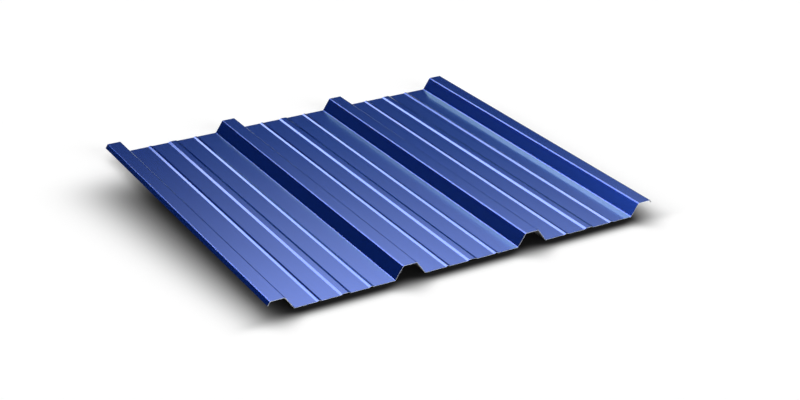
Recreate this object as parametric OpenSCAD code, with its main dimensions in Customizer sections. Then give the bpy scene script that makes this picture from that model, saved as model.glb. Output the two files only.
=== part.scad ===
// Ribbed steel roofing sheet, fixed through its face with screws.
// One strip of steel is rolled into a section, and the section runs the whole length of the sheet.
// X runs across the ribs, Y along them and Z up. The origin is the middle of the sheet on its underside.

/* [Sheet] */
// Distance between the centre lines of neighbouring major ribs
rib_pitch = 304.8; // [270:0.1:400]
// Number of pans between the major ribs
pan_count = 3; // [1:1:5]
// Length of the sheet along its ribs
sheet_l = 914.4; // [300:0.1:3000]
// Thickness of the coated steel
sheet_t = 0.8; // [0.4:0.05:1.2]

/* [Major ribs] */
// Rise from the pan to the crest
rib_h = 29; // [20:0.5:40]
// Width between the two feet, where webs and pans would meet without a bend
rib_foot_w = 72; // [66:0.5:90]
// Width of the crest, where crest and webs would meet without a bend
rib_crest_w = 32.4; // [24:0.1:40]
// Bend radius of feet and crest, to the middle of the sheet
rib_bend_r = 3; // [1:0.25:5]

/* [Minor ribs] */
// Distance from a pan's middle to its two narrow ribs
narrow_offset = 60.6; // [40:0.1:80]
// Width of a narrow rib at its foot
narrow_foot_w = 11.6; // [8:0.1:16]
// Width of a narrow rib's crest
narrow_crest_w = 1.6; // [1.2:0.1:4]
// Rise of a narrow rib above the pan
narrow_h = 1.7; // [1:0.1:3]
// Width of a pan's wide middle rib at its foot
wide_foot_w = 24.6; // [18:0.1:40]
// Width of the wide middle rib's crest
wide_crest_w = 13.6; // [6:0.1:16]
// Rise of the wide middle rib above the pan
wide_h = 2.1; // [1:0.1:4]
// Bend radius of the minor ribs, to the middle of the sheet
minor_bend_r = 4; // [1:0.25:6]

/* [Side laps] */
// Height of the short leg that hangs from the left crest
left_leg_h = 9; // [4:0.5:20]
// Height of the short leg that hangs from the right crest
right_leg_h = 6.6; // [4:0.1:20]

/* [Hidden] */

// Largest turn that one flat of a rounded bend takes, in degrees
bend_step = 8;
// Largest share of a flat that a bend at one of its ends may take up
bend_share = 0.45;
// How far a major rib's web runs outwards for each millimetre it drops
web_run = (rib_foot_w - rib_crest_w) / 2 / rib_h;
// Distance between the centre lines of the two outer ribs
cover_w = pan_count * rib_pitch;

// Corners of a trapezoid rib on the sheet's middle line, left to right, each as x, z and bend radius
function rib_corners(centre_x, foot_w, crest_w, h, bend_r) = [
    [centre_x - foot_w / 2, 0, bend_r],
    [centre_x - crest_w / 2, h, bend_r],
    [centre_x + crest_w / 2, h, bend_r],
    [centre_x + foot_w / 2, 0, bend_r]
];

function major_rib(centre_x) = rib_corners(centre_x, rib_foot_w, rib_crest_w, rib_h, rib_bend_r);

function narrow_rib(centre_x) =
    rib_corners(centre_x, narrow_foot_w, narrow_crest_w, narrow_h, minor_bend_r);

function wide_rib(centre_x) = rib_corners(centre_x, wide_foot_w, wide_crest_w, wide_h, minor_bend_r);

// The three minor ribs of the pan whose middle is at centre_x
function pan_corners(centre_x) = concat(
    narrow_rib(centre_x - narrow_offset),
    wide_rib(centre_x),
    narrow_rib(centre_x + narrow_offset)
);

// The free end of a leg of height leg_h, in line with the web it stands in for. side is -1 or 1
function leg_tip(centre_x, leg_h, side) =
    [centre_x + side * (rib_crest_w / 2 + leg_h * web_run), rib_h - leg_h, 0];

// The outer ribs lack their outer foot and end in a leg
function left_edge() =
    let (rib = major_rib(0)) concat([leg_tip(0, left_leg_h, -1)], [rib[1], rib[2], rib[3]]);

function right_edge() =
    let (rib = major_rib(cover_w)) concat([rib[0], rib[1], rib[2]], [leg_tip(cover_w, right_leg_h, 1)]);

// A pan, and the full rib after it on every pan but the last
function pan_and_rib(i) = concat(
    pan_corners((i + 0.5) * rib_pitch),
    i < pan_count - 1 ? major_rib((i + 1) * rib_pitch) : []
);

// Every corner of the sheet's middle line, from the left leg to the right one
section_corners = concat(
    left_edge(),
    [for (i = [0 : pan_count - 1]) each pan_and_rib(i)],
    right_edge()
);

function direction(a, b) = atan2(b[1] - a[1], b[0] - a[0]);

function along(angle) = [cos(angle), sin(angle)];

// The unit vector square to a direction, on the painted side of the sheet
function upward(angle) = [-sin(angle), cos(angle)];

function point_of(corner) = [corner[0], corner[1]];

// The tangent length of a bend: what its radius asks for, as far as both neighbouring flats have room
function tangent_length(before, corner, after, half_turn) = min(
    corner[2] * tan(half_turn),
    bend_share * norm(point_of(corner) - point_of(before)),
    bend_share * norm(point_of(after) - point_of(corner))
);

// Points of one rounded bend on a face that lies d above the middle line. The bend's centre is one
// radius to the side that the strip turns to, and its points swing round it in equal steps.
function bend_points(before, corner, after, d) =
    let (
        start_angle = direction(before, corner),
        turn = direction(corner, after) - start_angle,
        half_turn = abs(turn) / 2,
        tangent = tangent_length(before, corner, after, half_turn),
        to_centre = sign(turn) * tangent / tan(half_turn),
        centre = point_of(corner) - tangent * along(start_angle) + to_centre * upward(start_angle),
        steps = ceil(abs(turn) / bend_step)
    )
    [for (i = [0 : steps]) centre - (to_centre - d) * upward(start_angle + turn * i / steps)];

// One whole face of the sheet, d above the middle line, from the left tip to the right tip
function face_points(corners, d) =
    let (last = len(corners) - 1)
    concat(
        [point_of(corners[0]) + d * upward(direction(corners[0], corners[1]))],
        [for (i = [1 : last - 1]) each bend_points(corners[i - 1], corners[i], corners[i + 1], d)],
        [point_of(corners[last]) + d * upward(direction(corners[last - 1], corners[last]))]
    );

function reversed(list) = [for (i = [len(list) - 1 : -1 : 0]) list[i]];

section_outline = concat(
    face_points(section_corners, sheet_t / 2),
    reversed(face_points(section_corners, -sheet_t / 2))
);
outline_x = [for (p = section_outline) p[0]];
middle_x = (min(outline_x) + max(outline_x)) / 2;

module ribbed_sheet()
    color("royalblue")
        rotate([90, 0, 0])
            linear_extrude(sheet_l, center = true)
                translate([-middle_x, sheet_t / 2])
                    polygon(section_outline);

ribbed_sheet();
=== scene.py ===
"""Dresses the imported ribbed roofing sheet: coil-coated steel, lying on a pale studio floor."""

import logging
import math
from dataclasses import dataclass
from enum import Enum, IntEnum
from typing import ClassVar

import bpy
import numpy as np
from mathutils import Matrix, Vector


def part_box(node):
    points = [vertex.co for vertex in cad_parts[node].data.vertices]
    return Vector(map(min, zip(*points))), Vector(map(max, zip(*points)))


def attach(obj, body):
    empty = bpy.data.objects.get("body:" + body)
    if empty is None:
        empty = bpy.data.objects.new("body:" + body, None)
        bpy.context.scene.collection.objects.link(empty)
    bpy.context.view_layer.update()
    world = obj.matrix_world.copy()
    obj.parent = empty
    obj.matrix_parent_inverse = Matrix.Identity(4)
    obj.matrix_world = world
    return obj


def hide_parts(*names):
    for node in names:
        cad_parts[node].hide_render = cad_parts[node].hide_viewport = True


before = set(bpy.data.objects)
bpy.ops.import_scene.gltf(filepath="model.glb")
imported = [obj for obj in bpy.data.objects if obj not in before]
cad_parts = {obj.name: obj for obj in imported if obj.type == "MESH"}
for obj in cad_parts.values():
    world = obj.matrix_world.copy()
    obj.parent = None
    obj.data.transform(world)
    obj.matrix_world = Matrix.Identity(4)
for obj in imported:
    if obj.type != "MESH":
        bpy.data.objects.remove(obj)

LOG = logging.getLogger("ribbed_sheet")

MM = 0.001
NODE = "ribbed_sheet"
BODY = "root"
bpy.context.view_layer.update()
WHITE = (1.0, 1.0, 1.0, 1.0)
# The value that Blender's noise swings about
MIDDLE_OF_NOISE = 0.5
Rgb = tuple[float, float, float]
Value = bpy.types.NodeSocket | float


def unit(angle: np.ndarray) -> np.ndarray:
    """Gives the unit vectors that point along each angle, which is in radians above +X."""
    return np.stack([np.cos(angle), np.sin(angle)], axis=-1)


def left_of(angle: np.ndarray) -> np.ndarray:
    """Gives the unit vectors a quarter turn to the left of each angle: the painted side of the sheet."""
    return np.stack([-np.sin(angle), np.cos(angle)], axis=-1)


def direction(azimuth: float, elevation: float) -> Vector:
    """Gives the unit vector towards a place in the room, in degrees to the right of +Y and upwards."""
    a, e = math.radians(azimuth), math.radians(elevation)
    return Vector((math.sin(a) * math.cos(e), math.cos(a) * math.cos(e), math.sin(e)))


class Face(IntEnum):
    """The sheet's three kinds of surface, in the order of its material slots."""

    PAINTED = 0
    BACKER = 1
    CUT = 2


@dataclass(frozen=True)
class TrapezoidRib:
    """One rib on the sheet's middle line, in metres. Widths are between the corners without their bends."""

    foot_w: float
    crest_w: float
    height: float
    bend_r: float

    def corners(self, centre_x: float) -> np.ndarray:
        """Places the rib.

        Args:
            centre_x: where the rib's centre line is, across the sheet.

        Returns:
            Four rows of x, z and bend radius, from the left foot to the right one.
        """
        x = centre_x + np.array([-self.foot_w, -self.crest_w, self.crest_w, self.foot_w]) / 2
        z = np.array([0.0, self.height, self.height, 0.0])
        return np.column_stack([x, z, np.full_like(x, self.bend_r)])

    def web_run(self) -> float:
        """Gives how far a web runs outwards for each metre that it drops."""
        return (self.foot_w - self.crest_w) / 2 / self.height


@dataclass(frozen=True)
class MiddleLine:
    """The section's middle line as sampled columns, all arrays of one length.

    Each column has its point, its heading in radians above +X and the developed width up to it. On a flat it
    also has its share of the way across, the flat's width and the flat's number, which are 0 on a bend.
    """

    point: np.ndarray
    heading: np.ndarray
    developed: np.ndarray
    flat_share: np.ndarray
    flat_width: np.ndarray
    flat_number: np.ndarray


@dataclass(frozen=True)
class SheetSection:
    """The rolled section: its driving sizes, in metres, and the middle line that they give.

    A bend takes up at most the bend share of a flat. A guard column stands just inside each end of a flat,
    by the guard's length or the guard share of the flat's width, whichever is less.
    """

    pitch: float = 304.8 * MM
    pans: int = 3
    thickness: float = 0.8 * MM
    major: TrapezoidRib = TrapezoidRib(foot_w=72.0 * MM, crest_w=32.4 * MM, height=29.0 * MM, bend_r=3.0 * MM)
    narrow: TrapezoidRib = TrapezoidRib(foot_w=11.6 * MM, crest_w=1.6 * MM, height=1.7 * MM, bend_r=4.0 * MM)
    wide: TrapezoidRib = TrapezoidRib(foot_w=24.6 * MM, crest_w=13.6 * MM, height=2.1 * MM, bend_r=4.0 * MM)
    narrow_offset: float = 60.6 * MM
    left_leg: float = 9.0 * MM
    right_leg: float = 6.6 * MM
    bend_steps: int = 6
    flat_steps: int = 5
    guard: float = 0.4 * MM
    guard_share: float = 0.25
    bend_share: float = 0.45

    def leg_tip(self, centre_x: float, leg: float, side: int) -> np.ndarray:
        """Gives the end of a leg on a rib's left (-1) or right (1), as one row of x, z and bend radius."""
        x = centre_x + side * (self.major.crest_w / 2 + leg * self.major.web_run())
        return np.array([[x, self.major.height - leg, 0.0]])

    def corners(self) -> np.ndarray:
        """Lists every corner of the middle line.

        On the two outer ribs the tip of a leg takes the place of the outer foot.

        Returns:
            Rows of x, z and bend radius, from the left leg's tip to the right one's.
        """
        cover = self.pans * self.pitch
        rows = [self.leg_tip(0.0, self.left_leg, -1), self.major.corners(0.0)[1:]]
        for pan in range(self.pans):
            middle = (pan + 0.5) * self.pitch
            rows.append(self.narrow.corners(middle - self.narrow_offset))
            rows.append(self.wide.corners(middle))
            rows.append(self.narrow.corners(middle + self.narrow_offset))
            next_rib = self.major.corners((pan + 1) * self.pitch)
            rows.append(next_rib if pan < self.pans - 1 else next_rib[:3])
        rows.append(self.leg_tip(cover, self.right_leg, 1))
        return np.vstack(rows)

    def first_rib_x(self, left_edge: float) -> float:
        """Gives where the first rib's centre line is when the sheet's left edge is at left_edge."""
        tip_x = self.leg_tip(0.0, self.left_leg, -1)[0, 0]
        return left_edge - tip_x + self.thickness / 2 / math.hypot(1.0, self.major.web_run())

    def middle_line(self) -> MiddleLine:
        """Rounds each corner into an arc and samples the whole line.

        An arc of radius r and turn a starts r * tan(a / 2) before its corner, and its points swing round a
        centre one radius to the side that the line turns to. Flats get even columns, and one close to each
        end, so that smooth shading stays within the bends.

        Returns:
            The sampled columns, from the left tip to the right one.
        """
        corner = self.corners()
        place, radius = corner[:, :2], corner[:, 2]
        step = np.diff(place, axis=0)
        heading = np.arctan2(step[:, 1], step[:, 0])
        length = np.hypot(step[:, 0], step[:, 1])
        turn = np.diff(heading)
        half = np.abs(turn) / 2
        room = np.minimum(length[:-1], length[1:]) * self.bend_share
        tangent = np.minimum(radius[1:-1] * np.tan(half), room)
        to_centre = np.sign(turn) * tangent / np.tan(half)
        centre = place[1:-1] - tangent[:, None] * unit(heading[:-1])
        centre = centre + to_centre[:, None] * left_of(heading[:-1])
        arc_heading = heading[:-1, None] + turn[:, None] * np.linspace(0, 1, self.bend_steps + 1)
        arc = centre[:, None, :] - to_centre[:, None, None] * left_of(arc_heading)

        start = np.vstack([place[:1], arc[:, -1]])
        end = np.vstack([arc[:, 0], place[-1:]])
        width = np.hypot(*(end - start).T)
        inset = np.minimum(self.guard / width, self.guard_share)
        share = inset[:, None] + (1 - 2 * inset[:, None]) * np.linspace(0, 1, self.flat_steps + 1)
        flat = start[:, None, :] + share[:, :, None] * (end - start)[:, None, :]

        arc_zero = np.zeros_like(arc_heading)
        flat_one = np.ones_like(share)
        number = np.arange(len(width), dtype=float)
        point = self._interleave(flat, arc, place[0], place[-1])
        stride = np.hypot(*np.diff(point, axis=0).T)
        return MiddleLine(
            point=point,
            heading=self._interleave(heading[:, None] * flat_one, arc_heading, heading[0], heading[-1]),
            developed=np.concatenate([[0.0], np.cumsum(stride)]),
            flat_share=self._interleave(share, arc_zero, 0.0, 0.0),
            flat_width=self._interleave(width[:, None] * flat_one, arc_zero, 0.0, 0.0),
            flat_number=self._interleave(number[:, None] * flat_one, arc_zero, 0.0, 0.0),
        )

    @staticmethod
    def _interleave(flat: np.ndarray, arc: np.ndarray, first: np.ndarray, last: np.ndarray) -> np.ndarray:
        """Strings rows of flats and arcs together in turn, with the two tips' values before and after."""
        body = np.concatenate([flat[:-1], arc], axis=1).reshape((-1,) + flat.shape[2:])
        return np.concatenate([[first], body, flat[-1], [last]])


@dataclass(frozen=True)
class OilCanning:
    """The faint waves that thin flats keep after rolling. Sizes are in metres."""

    height: float = 0.03 * MM
    reference_width: float = 48 * MM
    largest_gain: float = 1.5
    wave_length: float = 310 * MM
    seed: int = 11

    def rise(self, line: MiddleLine, y: np.ndarray, crest_z: float) -> np.ndarray:
        """Works out how far each point of the sheet stands off its true flat.

        A flat bows as sin squared across its width and as a raised sine along it, with its own phase. The
        bow grows with the square of the flat's width, up to the largest gain. Pans bow up and crests down,
        so that the sheet keeps its overall size.

        Args:
            line: the sampled section.
            y: the rows' places along the sheet.
            crest_z: the height above which a flat counts as a crest.

        Returns:
            One value for each column and row, along the painted side's normal.
        """
        count = int(line.flat_number.max()) + 1
        phases = np.random.default_rng(self.seed).uniform(0, 2 * np.pi, count)
        phase = phases[line.flat_number.astype(int)]
        across = np.sin(np.pi * line.flat_share) ** 2
        gain = np.minimum((line.flat_width / self.reference_width) ** 2, self.largest_gain)
        side = np.where(line.point[:, 1] > crest_z, -1.0, 1.0)
        along = 0.5 + 0.5 * np.sin(2 * np.pi * y[None, :] / self.wave_length + phase[:, None])
        return (self.height * across * gain * side)[:, None] * along


class NodeDesk:
    """A small bench for laying out shader nodes in one tree."""

    def __init__(self, tree: bpy.types.NodeTree) -> None:
        """Takes the tree to work in, emptied of what it holds."""
        self.tree = tree
        tree.nodes.clear()

    def add(self, kind: str, /, **values: object) -> bpy.types.Node:
        """Adds one node and sets it up.

        Args:
            kind: Blender's name for the node type, without the ShaderNode prefix.
            values: the node's own settings, or input values for names that start with in_.

        Returns:
            The new node.
        """
        node = self.tree.nodes.new("ShaderNode" + kind)
        for name, value in values.items():
            if name.startswith("in_"):
                node.inputs[name[3:].replace("_", " ")].default_value = value
            else:
                setattr(node, name, value)
        return node

    def link(self, source: bpy.types.NodeSocket, target: bpy.types.NodeSocket) -> None:
        """Joins an output socket to an input socket."""
        self.tree.links.new(source, target)

    def math(self, operation: str, first: Value, second: Value = 0.0) -> bpy.types.NodeSocket:
        """Adds a Math node.

        Args:
            operation: what it works out.
            first: the first socket or number.
            second: the second one, where the operation takes two.

        Returns:
            The result's socket.
        """
        node = self.add("Math", operation=operation)
        for slot, value in zip(node.inputs, (first, second)):
            if isinstance(value, bpy.types.NodeSocket):
                self.link(value, slot)
            else:
                slot.default_value = value
        return node.outputs["Value"]

    def ramp(self, source: bpy.types.NodeSocket, ends: dict[float, float]) -> bpy.types.NodeSocket:
        """Adds a smooth step between two values.

        Args:
            source: the socket that drives it.
            ends: for the start and the end of the step, what the source is there and what the result is.

        Returns:
            The result's socket.
        """
        node = self.add("MapRange", interpolation_type="SMOOTHSTEP")
        self.link(source, node.inputs["Value"])
        for where, (given, result) in zip(("Min", "Max"), ends.items()):
            node.inputs[f"From {where}"].default_value = given
            node.inputs[f"To {where}"].default_value = result
        return node.outputs["Result"]


class Effect(Enum):
    """Surface effects that several finishes share, each built once as a node group."""

    MOTTLE = "mottle"
    ROLL_STREAKS = "roll_streaks"
    PEEL = "orange_peel"


@dataclass(frozen=True)
class EffectGroups:
    """The three node groups, looked up by effect."""

    groups: dict[Effect, bpy.types.NodeTree]

    @staticmethod
    def _frame(
        effect: Effect, inputs: dict[str, tuple[str, object]], outputs: dict[str, str],
    ) -> tuple[bpy.types.NodeTree, NodeDesk, bpy.types.Node, bpy.types.Node]:
        """Makes an empty group with its sockets.

        Args:
            effect: which effect it is for.
            inputs: socket name to socket type and default value.
            outputs: socket name to socket type.

        Returns:
            The group, a desk in it, its input node and its output node.
        """
        group = bpy.data.node_groups.new(effect.value, "ShaderNodeTree")
        for name, (kind, value) in inputs.items():
            socket = group.interface.new_socket(name, in_out="INPUT", socket_type=kind)
            if value is not None:
                socket.default_value = value
        for name, kind in outputs.items():
            group.interface.new_socket(name, in_out="OUTPUT", socket_type=kind)
        desk = NodeDesk(group)
        entry = group.nodes.new("NodeGroupInput")
        leave = group.nodes.new("NodeGroupOutput")
        return group, desk, entry, leave

    @classmethod
    def mottle(cls) -> bpy.types.NodeTree:
        """Builds the colour mottle: a base colour made lighter and darker by slow noise.

        Returns:
            The group, which puts out the colour.
        """
        group, desk, entry, leave = cls._frame(
            Effect.MOTTLE,
            {"Place": ("NodeSocketVector", None), "Color": ("NodeSocketColor", (1, 1, 1, 1)),
             "Scale": ("NodeSocketFloat", 6.0), "Amount": ("NodeSocketFloat", 0.05)},
            {"Color": "NodeSocketColor"},
        )
        noise = desk.add("TexNoise", in_Detail=4.0, in_Roughness=0.6)
        desk.link(entry.outputs["Place"], noise.inputs["Vector"])
        desk.link(entry.outputs["Scale"], noise.inputs["Scale"])
        swing = desk.math("SUBTRACT", noise.outputs["Fac"], MIDDLE_OF_NOISE)
        value = desk.math("ADD", desk.math("MULTIPLY", swing, entry.outputs["Amount"]), 1.0)
        tone = desk.add("HueSaturation")
        desk.link(value, tone.inputs["Value"])
        desk.link(entry.outputs["Color"], tone.inputs["Color"])
        desk.link(tone.outputs["Color"], leave.inputs["Color"])
        return group

    @classmethod
    def roll_streaks(cls) -> bpy.types.NodeTree:
        """Builds the streak mask: noise drawn out along the sheet, as rollers leave it.

        Returns:
            The group, which puts out a mask from 0 to 1.
        """
        group, desk, entry, leave = cls._frame(
            Effect.ROLL_STREAKS,
            {"Place": ("NodeSocketVector", None), "Across": ("NodeSocketFloat", 900.0),
             "Along": ("NodeSocketFloat", 3.0)},
            {"Mask": "NodeSocketFloat"},
        )
        scale = desk.add("CombineXYZ")
        desk.link(entry.outputs["Across"], scale.inputs["X"])
        desk.link(entry.outputs["Along"], scale.inputs["Y"])
        drawn = desk.add("VectorMath", operation="MULTIPLY")
        desk.link(entry.outputs["Place"], drawn.inputs[0])
        desk.link(scale.outputs["Vector"], drawn.inputs[1])
        noise = desk.add("TexNoise", in_Scale=1.0, in_Detail=3.0, in_Roughness=0.55)
        desk.link(drawn.outputs["Vector"], noise.inputs["Vector"])
        desk.link(noise.outputs["Fac"], leave.inputs["Mask"])
        return group

    @classmethod
    def orange_peel(cls) -> bpy.types.NodeTree:
        """Builds the height of a cured coat: fine rounded dimples over a slower swell.

        Returns:
            The group, which puts out the height.
        """
        group, desk, entry, leave = cls._frame(
            Effect.PEEL,
            {"Place": ("NodeSocketVector", None), "Scale": ("NodeSocketFloat", 700.0),
             "Swell Scale": ("NodeSocketFloat", 0.12), "Swell": ("NodeSocketFloat", 0.3)},
            {"Height": "NodeSocketFloat"},
        )
        fine = desk.add("TexNoise", in_Detail=2.0, in_Roughness=0.5)
        desk.link(entry.outputs["Place"], fine.inputs["Vector"])
        desk.link(entry.outputs["Scale"], fine.inputs["Scale"])
        slow = desk.add("TexNoise", in_Detail=1.0)
        desk.link(entry.outputs["Place"], slow.inputs["Vector"])
        swell_scale = desk.math("MULTIPLY", entry.outputs["Scale"], entry.outputs["Swell Scale"])
        desk.link(swell_scale, slow.inputs["Scale"])
        swell = desk.math("MULTIPLY", slow.outputs["Fac"], entry.outputs["Swell"])
        desk.link(desk.math("ADD", fine.outputs["Fac"], swell), leave.inputs["Height"])
        return group

    @classmethod
    def build(cls) -> "EffectGroups":
        """Builds each group once."""
        return cls({Effect.MOTTLE: cls.mottle(), Effect.ROLL_STREAKS: cls.roll_streaks(),
                    Effect.PEEL: cls.orange_peel()})

    def place(
        self, desk: NodeDesk, effect: Effect, place: bpy.types.NodeSocket, **values: object,
    ) -> bpy.types.Node:
        """Puts one group into a material.

        Args:
            desk: the material's desk.
            effect: which group.
            place: the coordinates that the effect follows.
            values: input values, by socket name.

        Returns:
            The group node.
        """
        node = desk.add("Group", node_tree=self.groups[effect])
        desk.link(place, node.inputs["Place"])
        for name, value in values.items():
            node.inputs[name].default_value = value
        return node


@dataclass(frozen=True)
class CoatFinish:
    """A baked-on coat of paint: a base that may hold metal flakes, and maybe a clear layer over it.

    Colours are linear RGB. The swing and the mottle are how far roughness and tone vary over the sheet, and
    the peel's height is in metres.
    """

    name: str
    color: Rgb
    metallic: float
    roughness: float
    roughness_swing: float
    specular: float
    specular_tint: Rgb
    clear: float
    clear_roughness: float
    clear_ior: float
    mottle: float
    peel_height: float

    def material(self, effects: EffectGroups) -> bpy.types.Material:
        """Builds the coat's material.

        Args:
            effects: the shared node groups.

        Returns:
            A material that reads the sheet's own map, in metres of developed width and length.
        """
        material = bpy.data.materials.new(self.name)
        material.use_nodes = True
        desk = NodeDesk(material.node_tree)
        place = desk.add("UVMap", uv_map=SheetPiece.MAP).outputs["UV"]
        out = desk.add("OutputMaterial")
        shader = desk.add("BsdfPrincipled", in_Metallic=self.metallic)
        shader.inputs["Specular IOR Level"].default_value = self.specular
        shader.inputs["Specular Tint"].default_value = (*self.specular_tint, 1.0)
        shader.inputs["Coat Weight"].default_value = self.clear
        shader.inputs["Coat Roughness"].default_value = self.clear_roughness
        shader.inputs["Coat IOR"].default_value = self.clear_ior
        desk.link(shader.outputs["BSDF"], out.inputs["Surface"])

        tone = effects.place(desk, Effect.MOTTLE, place, Color=(*self.color, 1.0), Amount=self.mottle)
        desk.link(tone.outputs["Color"], shader.inputs["Base Color"])

        streak = effects.place(desk, Effect.ROLL_STREAKS, place)
        swing = desk.math("SUBTRACT", streak.outputs["Mask"], MIDDLE_OF_NOISE)
        swing = desk.math("MULTIPLY", swing, self.roughness_swing)
        desk.link(desk.math("ADD", swing, self.roughness), shader.inputs["Roughness"])

        peel = effects.place(desk, Effect.PEEL, place)
        bump = desk.add("Bump", in_Strength=1.0, in_Distance=self.peel_height)
        desk.link(peel.outputs["Height"], bump.inputs["Height"])
        desk.link(bump.outputs["Normal"], shader.inputs["Normal"])
        return material


@dataclass(frozen=True)
class CutSteelFinish:
    """The bare sheared edge: bright steel with the zinc of its coating drawn over it.

    Grain and scratches are noise scales, in features for each metre.
    """

    name: str
    color: Rgb
    metallic: float
    roughness: float
    grain: float = 900.0
    grain_amount: float = 0.35
    scratches: float = 2500.0
    scratch_swing: float = 0.3

    def material(self, effects: EffectGroups) -> bpy.types.Material:
        """Builds the edge's material.

        Args:
            effects: the shared node groups.

        Returns:
            A material that reads the sheet's own map.
        """
        material = bpy.data.materials.new(self.name)
        material.use_nodes = True
        desk = NodeDesk(material.node_tree)
        place = desk.add("UVMap", uv_map=SheetPiece.MAP).outputs["UV"]
        out = desk.add("OutputMaterial")
        shader = desk.add("BsdfPrincipled", in_Metallic=self.metallic)
        desk.link(shader.outputs["BSDF"], out.inputs["Surface"])
        tone = effects.place(
            desk, Effect.MOTTLE, place, Color=(*self.color, 1.0), Scale=self.grain, Amount=self.grain_amount)
        desk.link(tone.outputs["Color"], shader.inputs["Base Color"])
        scratch = effects.place(desk, Effect.ROLL_STREAKS, place, Across=self.scratches, Along=self.scratches)
        swing = desk.math("MULTIPLY", scratch.outputs["Mask"], self.scratch_swing)
        desk.link(desk.math("ADD", swing, self.roughness), shader.inputs["Roughness"])
        return material


@dataclass
class SheetPiece:
    """The rolled sheet itself: one closed mesh with a painted face, a backer face and bare cut edges.

    Edges are shaded sharp from the given angle on, in degrees.
    """

    MAP: ClassVar[str] = "developed"

    section: SheetSection
    waves: OilCanning
    rows: int = 48
    sharp_from: float = 40.0

    def grid(self) -> tuple[np.ndarray, np.ndarray, np.ndarray]:
        """Works out both faces as grids.

        A point of a face is the middle line's point for its column, moved along the line's normal by half
        of the thickness and the oil canning, and set at its row's place along the sheet.

        Returns:
            The painted face and the backer face, each as columns by rows by x, y, z, and the map's two
            values for each column and row.
        """
        low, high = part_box(NODE)
        line = self.section.middle_line()
        y = np.linspace(low.y, high.y, self.rows)
        half = self.section.thickness / 2
        normal = left_of(line.heading)
        wave = self.waves.rise(line, y, self.section.major.height / 2)
        shift_x = self.section.first_rib_x(low.x)
        faces = []
        for side in (half, -half):
            off = wave + side
            x = line.point[:, 0, None] + shift_x + normal[:, 0, None] * off
            z = line.point[:, 1, None] + half + normal[:, 1, None] * off
            faces.append(np.stack([x, np.broadcast_to(y, x.shape), z], axis=-1))
        chart = np.stack(np.broadcast_arrays(line.developed[:, None], y[None, :] - low.y), axis=-1)
        return faces[0], faces[1], chart

    @staticmethod
    def quads(a: np.ndarray, b: np.ndarray) -> np.ndarray:
        """Joins two lines of vertex numbers, or two sets of lines, into quads: on along a, back along b."""
        return np.stack([a[:-1], a[1:], b[1:], b[:-1]], axis=-1).reshape(-1, 4)

    def faces(self, columns: int) -> tuple[np.ndarray, np.ndarray]:
        """Lists the mesh's quads, all facing outwards.

        Args:
            columns: how many columns each face has.

        Returns:
            The quads as rows of four vertex numbers, and the kind of surface of each.
        """
        top = np.arange(columns * self.rows).reshape(columns, self.rows)
        under = top + columns * self.rows
        painted = self.quads(top[:, :-1], top[:, 1:])
        backer = painted[:, ::-1] + columns * self.rows
        rims = [
            self.quads(under[:, 0], top[:, 0]),
            self.quads(under[::-1, -1], top[::-1, -1]),
            self.quads(under[0, ::-1], top[0, ::-1]),
            self.quads(under[-1, :], top[-1, :]),
        ]
        cut = np.concatenate(rims)
        kinds = np.repeat([Face.PAINTED, Face.BACKER, Face.CUT], [len(painted), len(backer), len(cut)])
        return np.concatenate([painted, backer, cut]), kinds

    def build(self, materials: list[bpy.types.Material]) -> bpy.types.Object:
        """Makes the piece and fits it to the frame.

        Args:
            materials: the finishes, in the order of Face.

        Returns:
            The finished object.
        """
        painted, under, chart = self.grid()
        quads, kinds = self.faces(painted.shape[0])
        place = np.concatenate([painted.reshape(-1, 3), under.reshape(-1, 3)])
        mesh = bpy.data.meshes.new("painted_sheet")
        mesh.from_pydata(place, [], quads)
        for material in materials:
            mesh.materials.append(material)
        mesh.polygons.foreach_set("material_index", kinds.astype(np.int32))
        mesh.polygons.foreach_set("use_smooth", np.ones(len(quads), bool))
        chart_all = np.concatenate([chart.reshape(-1, 2)] * 2)
        layer = mesh.uv_layers.new(name=self.MAP)
        layer.uv.foreach_set("vector", chart_all[quads.ravel()].astype(np.float32).ravel())
        mesh.set_sharp_from_angle(angle=math.radians(self.sharp_from))
        mesh.validate()
        piece = bpy.data.objects.new("painted_sheet", mesh)
        bpy.context.scene.collection.objects.link(piece)
        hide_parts(NODE)
        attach(piece, BODY)
        return piece


@dataclass(frozen=True)
class PaintedShadeSide:
    """How the shade that is painted into the floor's colour fades past one side of the sheet, in metres.

    It is full as far out as the plateau, which counts outwards from the sheet's edge, and fades over the
    reach, the more abruptly the larger the falloff. The reach may grow along the side, by some metres for
    each metre from the sheet's front end. At the ribs' open ends the plateau may be pulled back and the
    reach spread.
    """

    plateau: float
    reach: float
    falloff: float
    growth: float = 0.0
    pull: float = 0.0
    spread: float = 0.0


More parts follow.
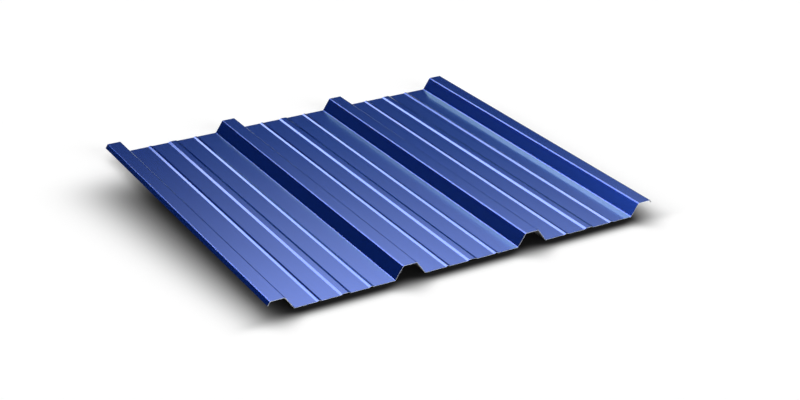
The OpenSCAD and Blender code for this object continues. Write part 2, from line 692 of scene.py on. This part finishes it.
@dataclass(frozen=True)
class StudioFloor:
    """The pale floor that the sheet lies on. It is white to the camera and keeps the sheet's real shadow, and
    a soft shadow round the sheet is painted into its colour as well.

    Sizes are in metres. The lift is the light that the floor adds for the rays that show it, where 1 is
    white, and the painted shade's depth is the share of its brightness that the full painted shade takes
    away.
    The openings' middles stand off the ribs' centre lines by opening_x.
    """

    half_size: float = 40.0
    drop: float = 0.4 * MM
    albedo: float = 0.80
    lift: float = 0.29
    painted_shade_depth: float = 0.989
    # Where the shadow painted into the floor's colour lies round each side of the sheet, and how it fades
    left: PaintedShadeSide = PaintedShadeSide(plateau=-76 * MM, reach=122 * MM, falloff=3.4, growth=0.113)
    right: PaintedShadeSide = PaintedShadeSide(plateau=-63 * MM, reach=61 * MM, falloff=1.6)
    front: PaintedShadeSide = PaintedShadeSide(plateau=10 * MM, reach=30 * MM, falloff=2.8, pull=21 * MM, spread=33 * MM)
    back: PaintedShadeSide = PaintedShadeSide(plateau=-418 * MM, reach=274 * MM, falloff=5.0)
    opening_x: float = -14 * MM
    opening_half_w: float = 62 * MM

    def build(self) -> bpy.types.Object:
        """Lays the floor just under the sheet.

        Returns:
            The floor, as part of the stage.
        """
        s, z = self.half_size, -self.drop
        mesh = bpy.data.meshes.new("floor")
        mesh.from_pydata([(-s, -s, z), (s, -s, z), (s, s, z), (-s, s, z)], [], [(0, 1, 2, 3)])
        mesh.materials.append(self.material())
        floor = bpy.data.objects.new("floor", mesh)
        bpy.context.scene.collection.objects.link(floor)
        return floor

    def openings(self, desk: NodeDesk, x: bpy.types.NodeSocket, left_edge: float) -> bpy.types.NodeSocket:
        """Adds the nodes that find the ribs' open ends, where the painted shade is lighter, as if light fell
        in under the sheet.

        Args:
            desk: the floor's desk.
            x: the place across the sheet.
            left_edge: where the sheet's left edge is.

        Returns:
            A value that is 1 at each opening's middle and falls to 0 between the ribs.
        """
        section = SheetSection()
        from_opening = desk.math("SUBTRACT", x, section.first_rib_x(left_edge) + self.opening_x)
        nearest = desk.math("PINGPONG", from_opening, section.pitch / 2)
        return desk.ramp(nearest, {0.0: 1.0, self.opening_half_w: 0.0})

    def painted_shade(self, desk: NodeDesk) -> bpy.types.NodeSocket:
        """Adds the nodes for the soft shade that is painted into the floor's colour under and round the
        sheet.

        Past each side of the sheet the shade falls off as exp(-(way out / reach) ^ falloff), and the four
        sides' values are multiplied together.

        Args:
            desk: the floor's desk.

        Returns:
            The share of the floor's brightness that is left, from 0 to 1.
        """
        low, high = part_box(NODE)
        split = desk.add("SeparateXYZ")
        desk.link(desk.add("TexCoord").outputs["Object"], split.inputs["Vector"])
        from_front = desk.math("MAXIMUM", desk.math("SUBTRACT", split.outputs["Y"], low.y), 0.0)
        opening = self.openings(desk, split.outputs["X"], low.x)
        # A soft shadow painted into the floor's colour, on top of the sheet's real shadow from the lamps
        painted_shade = self.painted_shade_depth
        sides = (
            ("X", low.x, -1, self.left),
            ("X", high.x, 1, self.right),
            ("Y", low.y, -1, self.front),
            ("Y", high.y, 1, self.back),
        )
        for axis, edge, way, side in sides:
            out = desk.math("SUBTRACT", split.outputs[axis], edge + way * side.plateau)
            out = desk.math("MULTIPLY", out, way)
            # Under the ribs' open ends the painted shade starts further out and fades over a longer reach
            out = desk.math("ADD", out, desk.math("MULTIPLY", opening, side.pull))
            reach = desk.math("ADD", desk.math("MULTIPLY", from_front, side.growth), side.reach)
            reach = desk.math("ADD", reach, desk.math("MULTIPLY", opening, side.spread))
            share = desk.math("DIVIDE", desk.math("MAXIMUM", out, 0.0), reach)
            power = desk.math("MULTIPLY", desk.math("POWER", share, side.falloff), -1.0)
            painted_shade = desk.math("MULTIPLY", desk.math("EXPONENT", power), painted_shade)
        return desk.math("SUBTRACT", 1.0, painted_shade)

    def material(self) -> bpy.types.Material:
        """Builds a matt pale finish, lifted towards white for rays that show it and dimmed by the painted
        shade.

        Returns:
            The floor's material.
        """
        material = bpy.data.materials.new("pale_floor")
        material.use_nodes = True
        desk = NodeDesk(material.node_tree)
        # The painted shade darkens both the floor's colour and its lift round the sheet
        share = self.painted_shade(desk)
        out = desk.add("OutputMaterial")
        matt = desk.add("BsdfDiffuse")
        tone = desk.add("CombineXYZ")
        for axis in ("X", "Y", "Z"):
            desk.link(desk.math("MULTIPLY", share, self.albedo), tone.inputs[axis])
        desk.link(tone.outputs["Vector"], matt.inputs["Color"])
        glow = desk.add("Emission", in_Color=WHITE)
        rays = desk.add("LightPath")
        seen = desk.math("MAXIMUM", rays.outputs["Is Camera Ray"], rays.outputs["Is Glossy Ray"])
        seen = desk.math("MAXIMUM", seen, rays.outputs["Is Transmission Ray"])
        lift = desk.math("MULTIPLY", share, self.lift)
        desk.link(desk.math("MULTIPLY", seen, lift), glow.inputs["Strength"])
        total = desk.add("AddShader")
        desk.link(matt.outputs["BSDF"], total.inputs[0])
        desk.link(glow.outputs["Emission"], total.inputs[1])
        desk.link(total.outputs["Shader"], out.inputs["Surface"])
        return material


@dataclass(frozen=True)
class PhotoCamera:
    """The camera, at the angle, distance and lens that the photograph's edges give.

    Azimuth counts in degrees from the sheet's front end to the right. Sizes are in metres.
    """

    azimuth: float = -29.907
    elevation: float = 25.157
    location: tuple[float, float, float] = (-1.6038, -2.9389, 1.5269)
    lens_mm: float = 70.35
    sensor_mm: float = 36.0
    farthest: float = 200.0

    def build(self) -> bpy.types.Object:
        """Sets the camera up as the scene's own.

        Returns:
            The camera.
        """
        back = direction(180.0 - self.azimuth, self.elevation)
        data = bpy.data.cameras.new("camera")
        data.lens = self.lens_mm
        data.sensor_width = self.sensor_mm
        data.clip_end = self.farthest
        camera = bpy.data.objects.new("camera", data)
        camera.location = self.location
        camera.rotation_mode = "QUATERNION"
        camera.rotation_quaternion = (-back).to_track_quat("-Z", "Y")
        bpy.context.scene.collection.objects.link(camera)
        bpy.context.scene.camera = camera
        return camera


@dataclass(frozen=True)
class SoftPatch:
    """A soft-edged bright patch of the studio dome, like a softbox far away. Angles are in degrees."""

    azimuth: float
    elevation: float
    width: float
    height: float
    edge: float
    radiance: float
    roll: float = 0.0

    def axes(self) -> tuple[Vector, Vector, Vector]:
        """Works out the patch's frame.

        Returns:
            Unit vectors towards its middle, along its width and along its height. Azimuth counts to the
            right of +Y, and roll turns the patch clockwise as the sheet sees it.
        """
        r = math.radians(self.roll)
        middle = direction(self.azimuth, self.elevation)
        level = direction(self.azimuth + 90.0, 0.0)
        rise = level.cross(middle)
        return middle, level * math.cos(r) - rise * math.sin(r), rise * math.cos(r) + level * math.sin(r)

    def glow(self, desk: NodeDesk, ray: bpy.types.NodeSocket) -> bpy.types.NodeSocket:
        """Adds the nodes for the patch's radiance.

        The radiance falls off by a smooth step across each edge, in the sine of the angle from the middle.

        Args:
            desk: the world's desk.
            ray: the direction that is looked up.

        Returns:
            The socket with the patch's own share of the light.
        """
        middle, across, up = self.axes()
        facing = desk.add("VectorMath", operation="DOT_PRODUCT", in_Vector=middle)
        desk.link(ray, facing.inputs[1])
        glow = desk.math("MULTIPLY", desk.math("GREATER_THAN", facing.outputs["Value"], 0.0), self.radiance)
        for axis, size in ((across, self.width), (up, self.height)):
            along = desk.add("VectorMath", operation="DOT_PRODUCT", in_Vector=axis)
            desk.link(ray, along.inputs[1])
            inner, outer = (math.sin(math.radians((size + side * self.edge) / 2)) for side in (-1, 1))
            inside = desk.ramp(desk.math("ABSOLUTE", along.outputs["Value"]), {inner: 1.0, outer: 0.0})
            glow = desk.math("MULTIPLY", glow, inside)
        return glow


@dataclass(frozen=True)
class StudioDome:
    """The room's light: dark towards the horizon, bright overhead, with soft patches where softboxes hang.

    Radiances are shares of white, and heights are in degrees above the floor.
    """

    horizon: float = 0.0
    overhead: float = 0.934
    dark_below: float = 36.2
    bright_above: float = 43.2
    patches: tuple[SoftPatch, ...] = (
        SoftPatch(azimuth=3.9, elevation=38.6, width=12.6, height=17.1, edge=2.5, radiance=3.95, roll=22),
        SoftPatch(azimuth=34.1, elevation=39.0, width=22.8, height=17.7, edge=15.7, radiance=4.19),
        SoftPatch(azimuth=-33.6, elevation=31.1, width=24.0, height=10.0, edge=5.0, radiance=6.9),
    )

    def build(self) -> None:
        """Builds the world, whose radiance rises smoothly with the height that a ray points to."""
        world = bpy.data.worlds.new("studio_dome")
        world.use_nodes = True
        desk = NodeDesk(world.node_tree)
        ray = desk.add("TexCoord").outputs["Generated"]
        split = desk.add("SeparateXYZ")
        desk.link(ray, split.inputs["Vector"])
        total = desk.ramp(split.outputs["Z"], {
            math.sin(math.radians(self.dark_below)): self.horizon,
            math.sin(math.radians(self.bright_above)): self.overhead})
        for patch in self.patches:
            total = desk.math("ADD", total, patch.glow(desk, ray))
        light = desk.add("Background", in_Color=WHITE)
        desk.link(total, light.inputs["Strength"])
        out = desk.add("OutputWorld")
        desk.link(light.outputs["Background"], out.inputs["Surface"])
        bpy.context.scene.world = world


@dataclass(frozen=True)
class FrontFill:
    """A wide soft lamp low in front, which lights the cut edge. The glossy coats don't mirror it.

    Angles are in degrees, and azimuth counts to the right of +Y. The strength is in watts for each square
    metre that faces the lamp.
    """

    azimuth: float = 155.0
    elevation: float = 9.0
    width: float = 40.0
    strength: float = 2.07

    def build(self) -> bpy.types.Object:
        """Hangs the lamp far away, turned towards the sheet.

        Returns:
            The lamp.
        """
        data = bpy.data.lights.new("front_fill", "SUN")
        data.energy = self.strength
        data.angle = math.radians(self.width)
        lamp = bpy.data.objects.new("front_fill", data)
        lamp.visible_glossy = False
        lamp.rotation_mode = "QUATERNION"
        lamp.rotation_quaternion = direction(self.azimuth, self.elevation).to_track_quat("Z", "Y")
        bpy.context.scene.collection.objects.link(lamp)
        return lamp


@dataclass(frozen=True)
class Studio:
    """The floor, the dome of light around it and the lamp in front."""

    floor: StudioFloor = StudioFloor()
    dome: StudioDome = StudioDome()
    fill: FrontFill = FrontFill()

    def build(self) -> None:
        """Lays the floor, builds the dome, hangs the lamp and sets the view transform."""
        self.floor.build()
        self.dome.build()
        self.fill.build()
        bpy.context.scene.view_settings.view_transform = "Standard"


PAINT = CoatFinish(
    name="blue_coil_coat", color=(0.011, 0.064, 0.507), metallic=0.71, roughness=0.187, roughness_swing=0.04,
    specular=0.5, specular_tint=(0.76, 1.0, 0.40), clear=0.545, clear_roughness=0.05, clear_ior=1.92,
    mottle=0.05, peel_height=0.002 * MM,
)
BACKER_COAT = CoatFinish(
    name="grey_backer_coat", color=(0.74, 0.73, 0.71), metallic=0.0, roughness=0.5, roughness_swing=0.1,
    specular=0.4, specular_tint=(1.0, 1.0, 1.0), clear=0.0, clear_roughness=0.3, clear_ior=1.5,
    mottle=0.08, peel_height=0.01 * MM,
)
CUT_STEEL = CutSteelFinish(name="sheared_steel", color=(0.80, 0.86, 0.94), metallic=0.2, roughness=0.4)


def main() -> None:
    """Builds the camera, the dressed sheet and the studio, in that order."""
    logging.basicConfig(level=logging.INFO, format="%(message)s")
    PhotoCamera().build()
    effects = EffectGroups.build()
    finishes = [PAINT.material(effects), BACKER_COAT.material(effects), CUT_STEEL.material(effects)]
    sheet = SheetPiece(SheetSection(), OilCanning()).build(finishes)
    LOG.info("%s: %d faces", sheet.name, len(sheet.data.polygons))
    Studio().build()


if __name__ == "__main__":
    main()
